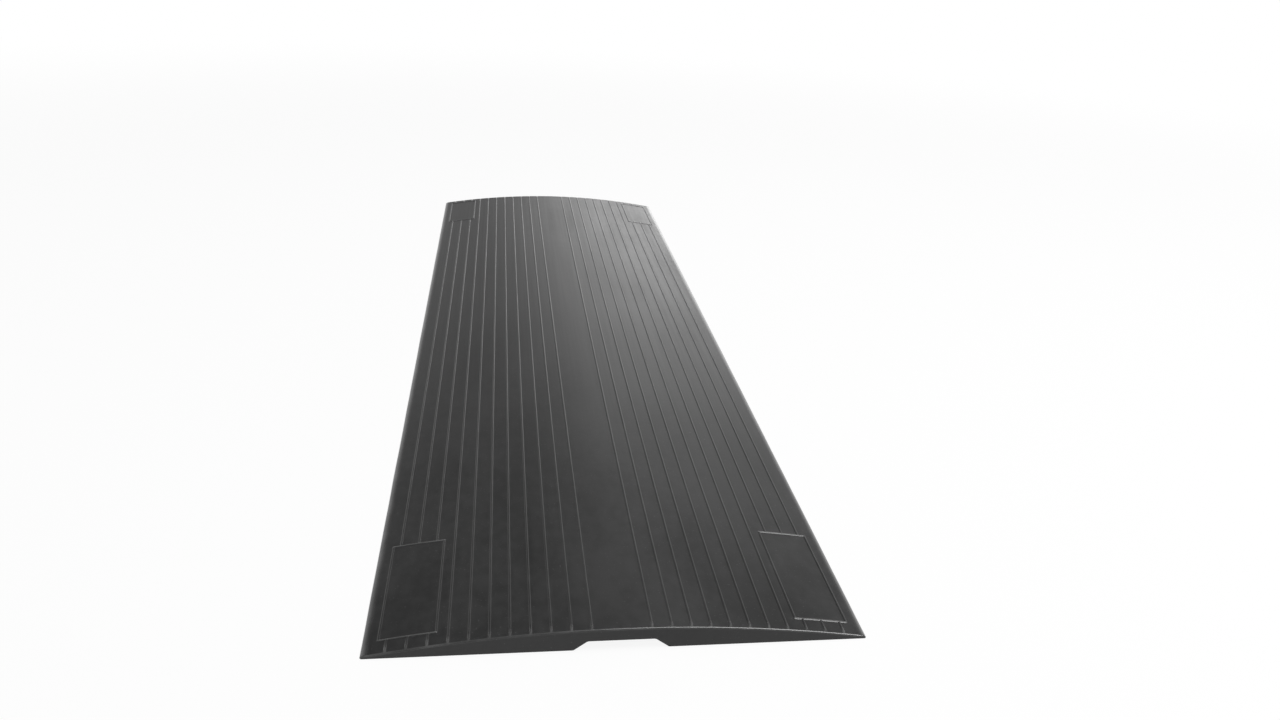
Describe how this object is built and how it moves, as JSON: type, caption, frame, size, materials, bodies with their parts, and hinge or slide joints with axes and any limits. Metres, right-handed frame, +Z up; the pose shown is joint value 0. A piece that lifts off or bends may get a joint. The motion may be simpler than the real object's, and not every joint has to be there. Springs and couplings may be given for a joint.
{
  "type": "threshold ramp",
  "caption": "Low domed rubber threshold ramp with fine raised ribs along its tread, thin long edges, framed bare corner fields and a channel underneath that bridges a threshold bar.",
  "frame": {"origin": "on the floor, under the middle of the ramp", "axes": "+X across the ramp from thin edge to thin edge, +Y along the doorway, +Z up"},
  "size_m": [0.254, 0.84, 0.0122],
  "materials": {
    "rubber": "satin moulded black rubber",
    "fixing_tape": "matt foam tape with a tacky adhesive face"
  },
  "bodies": {
    "root": {"ramp_body": "rubber", "tape_left_inner": "fixing_tape", "tape_left_outer": "fixing_tape", "tape_right_inner": "fixing_tape", "tape_right_outer": "fixing_tape"}
  },
  "joints": []
}
